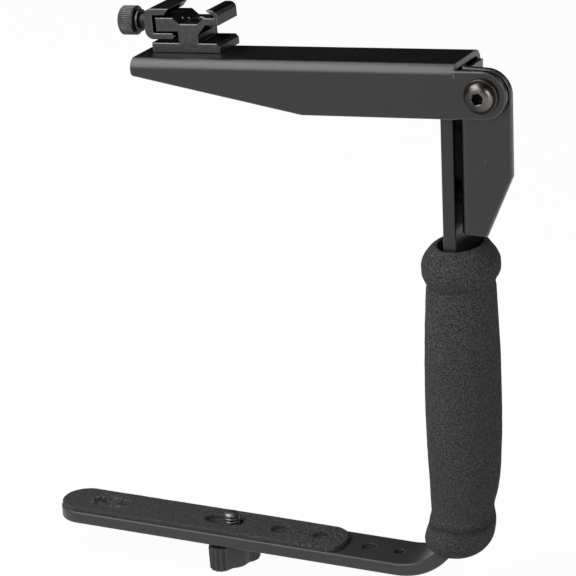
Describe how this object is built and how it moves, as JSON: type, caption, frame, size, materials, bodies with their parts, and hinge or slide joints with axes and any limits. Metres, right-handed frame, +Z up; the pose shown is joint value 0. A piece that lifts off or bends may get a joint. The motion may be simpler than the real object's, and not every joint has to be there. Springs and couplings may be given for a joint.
{
  "type": "camera flash bracket",
  "caption": "L shaped camera flash bracket with padded base bar, foam grip, flip-over arm on a friction pivot, captive camera screw and clamping cold shoe.",
  "frame": {"origin": "Centre of the tripod socket's mouth, on the underside of the flat bar.", "axes": "+X along the bar toward the upright, +Y across the bar away from the pivot's bolt head, +Z up."},
  "size_m": [0.2079, 0.0358, 0.2349],
  "materials": {
    "bar_paint": "satin black powder coat",
    "sheet_paint": "satin black powder coat",
    "pad_rubber": "fine grained matt pad",
    "grip_foam": "open grained foam",
    "zinc_steel": "zinc plated",
    "satin_steel": "satin stainless",
    "dark_washer": "blackened steel",
    "nylon": "smooth black nylon",
    "knob_plastic": "moulded black plastic",
    "black_aluminium": "black anodised"
  },
  "bodies": {
    "frame": {"l_bar": "bar_paint", "base_pad": "pad_rubber", "foam_grip": "grip_foam", "pivot_bracket": "sheet_paint", "bracket_spacers": "zinc_steel", "bracket_screws": "zinc_steel", "pivot_bolt": "satin_steel", "pivot_head_washer": "dark_washer", "pivot_friction_washer": "nylon", "pivot_back_washer": "zinc_steel", "pivot_lock_nut": "zinc_steel"},
    "arm": {"flip_arm": "sheet_paint", "shoe_block": "black_aluminium", "shoe_mount_screw": "zinc_steel", "shoe_mount_nut": "zinc_steel"},
    "jaw": {"shoe_jaw": "black_aluminium"},
    "jaw_knob": {"shoe_knob": "black_aluminium", "shoe_clamp_screw": "zinc_steel"},
    "screw_carriage": {"camera_screw_washer": "nylon"},
    "screw": {"camera_screw": "satin_steel", "camera_screw_knob": "knob_plastic"}
  },
  "joints": [
    {"name": "arm_flip", "type": "hinge", "parent": "frame", "child": "arm", "pos_m": [0.05736, 0, 0.20101], "axis": [0, 1, 0], "range_deg": [0, 150]},
    {"name": "jaw_slide", "type": "slide", "parent": "arm", "child": "jaw", "axis": [0.9986, 0, 0.0523], "range_m": [-0.0006, 0.0009]},
    {"name": "jaw_knob_turn", "type": "hinge", "parent": "jaw", "child": "jaw_knob", "pos_m": [-0.08569, 0.00535, 0.21545], "axis": [0.9986, 0, 0.0523], "range_deg": [-433, 649]},
    {"name": "camera_screw_slide", "type": "slide", "parent": "frame", "child": "screw_carriage", "axis": [1, 0, 0], "range_m": [-0.0084, 0.001]},
    {"name": "camera_screw_turn", "type": "hinge", "parent": "screw_carriage", "child": "screw", "pos_m": [-0.0612, 0, 0], "axis": [0, 0, 1], "continuous": true}
  ],
  "couplings": [
    {"joint": "jaw_knob_turn", "follows": "jaw_slide", "rad_per_m": 12566}
  ]
}
